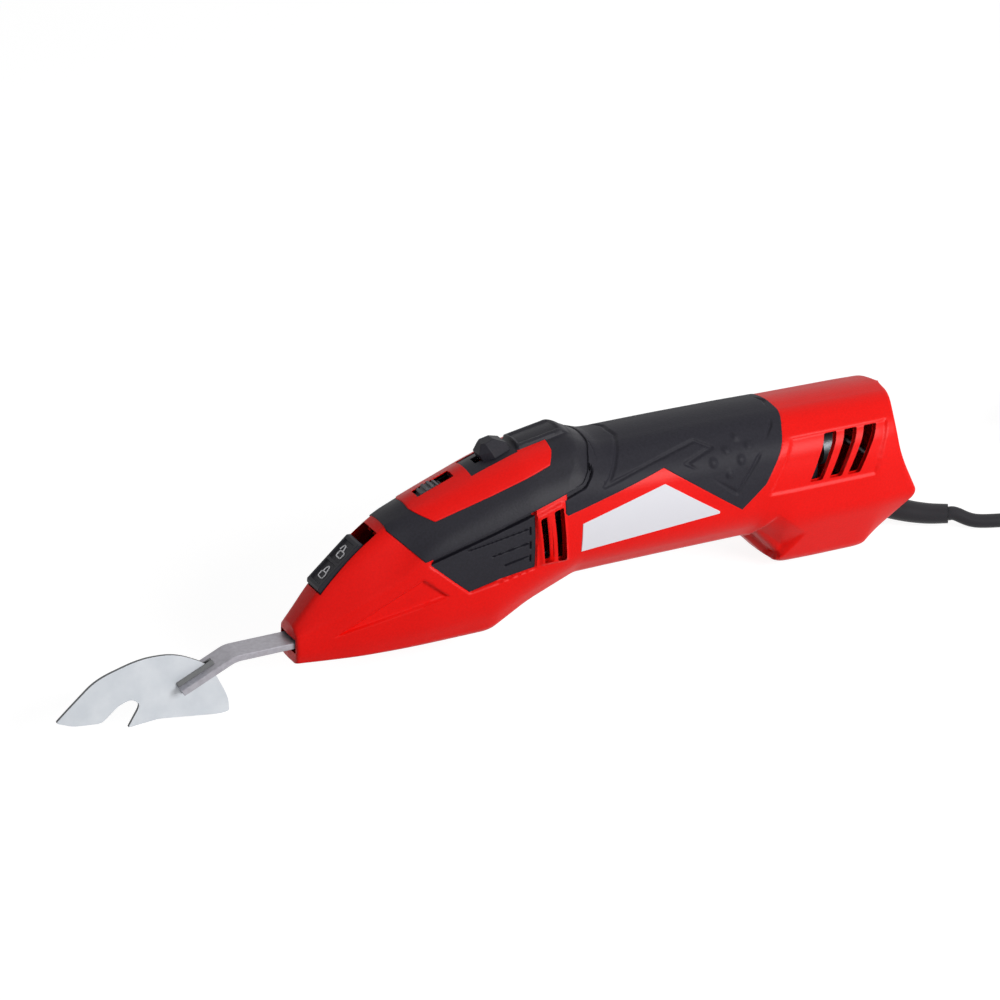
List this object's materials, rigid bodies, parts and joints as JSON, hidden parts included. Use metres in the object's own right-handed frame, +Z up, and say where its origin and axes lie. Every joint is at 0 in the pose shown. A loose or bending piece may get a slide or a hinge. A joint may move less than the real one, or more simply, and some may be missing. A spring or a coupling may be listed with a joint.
{
  "type": "corded power scraper",
  "caption": "Corded hand-held power scraper with a rocking hooked blade on a cranked shank, soft-grip body, slide switch, speed dial, blade lock, coiled cord and flat plug.",
  "frame": {"origin": "on the floor, under the middle of the tool's box, with the tool resting on its blade and its rear foot", "axes": "+X from the blade to the cord end, +Z up, +Y to the side away from the label"},
  "size_m": [0.5834, 0.0987, 0.0917],
  "materials": {
    "red_plastic": "satin moulded plastic",
    "black_plastic": "fine-grained moulded plastic",
    "soft_grip": "soft overmould",
    "label_film": "bare film",
    "grey_plastic": "moulded plastic",
    "steel": "turned steel",
    "cast_frame": "die cast",
    "blade_steel": "zinc plated steel",
    "bronze": "sintered bronze",
    "copper": null,
    "carbon": null,
    "board": "resin board",
    "cord_rubber": "rubber sheath",
    "plated_pin": "plated brass"
  },
  "bodies": {
    "tool": {"left_housing": "red_plastic", "right_housing": "red_plastic", "front_cap": "black_plastic", "switch_panel": "red_plastic", "left_grip": "soft_grip", "right_grip": "soft_grip", "left_pad": "soft_grip", "right_pad": "soft_grip", "label_plate": "label_film", "housing_screws": "steel", "power_switch": "black_plastic", "dial_axle": "steel", "control_board": "board", "field_core": "steel", "field_coils": "copper", "brush_holders": "black_plastic", "carbon_brushes": "carbon", "brush_springs": "steel", "front_bearing": "steel", "rear_bearing": "steel", "drive_frame": "cast_frame", "pivot_pin": "steel", "strain_relief": "cord_rubber", "cord_clamp": "black_plastic", "clamp_screws": "steel", "cord_lead": "cord_rubber", "cord_coil": "cord_rubber", "cord_tail": "cord_rubber", "coil_tie": "black_plastic", "plug_body": "black_plastic", "plug_pins": "plated_pin"},
    "rotor": {"motor_shaft": "steel", "armature_core": "steel", "armature_winding": "copper", "commutator": "copper", "cooling_fan": "black_plastic", "eccentric": "steel", "eccentric_bearing": "steel"},
    "rocker": {"rocker_arm": "steel", "pivot_bushes": "bronze", "tool_holder": "steel", "clamp_screw": "steel"},
    "blade": {"blade_plate": "blade_steel", "blade_shank": "blade_steel", "weld_beads": "blade_steel"},
    "lock": {"lock_slider": "black_plastic", "lock_stem": "black_plastic"},
    "switch": {"switch_knob": "black_plastic", "switch_rod": "black_plastic"},
    "dial": {"speed_dial": "grey_plastic"}
  },
  "joints": [
    {"name": "motor_spin", "type": "hinge", "parent": "tool", "child": "rotor", "pos_m": [0.09576, 0, 0.0507], "axis": [0.998, 0, -0.0627], "continuous": true},
    {"name": "blade_rock", "type": "hinge", "parent": "tool", "child": "rocker", "pos_m": [-0.05, 0, 0.02875], "axis": [0, 1, 0], "range_deg": [-1.2, 1.2]},
    {"name": "blade_pull", "type": "slide", "parent": "rocker", "child": "blade", "axis": [-0.998, 0, 0.0627], "range_m": [0, 0.012]},
    {"name": "power_slide", "type": "slide", "parent": "tool", "child": "switch", "axis": [-0.9707, 0, -0.2404], "range_m": [0, 0.006]},
    {"name": "dial_turn", "type": "hinge", "parent": "tool", "child": "dial", "pos_m": [-0.02521, 0, 0.07096], "axis": [0, 1, 0], "range_deg": [-135, 135]},
    {"name": "lock_slide", "type": "slide", "parent": "tool", "child": "lock", "axis": [0.7943, 0, 0.6075], "range_m": [0, 0.007]}
  ]
}
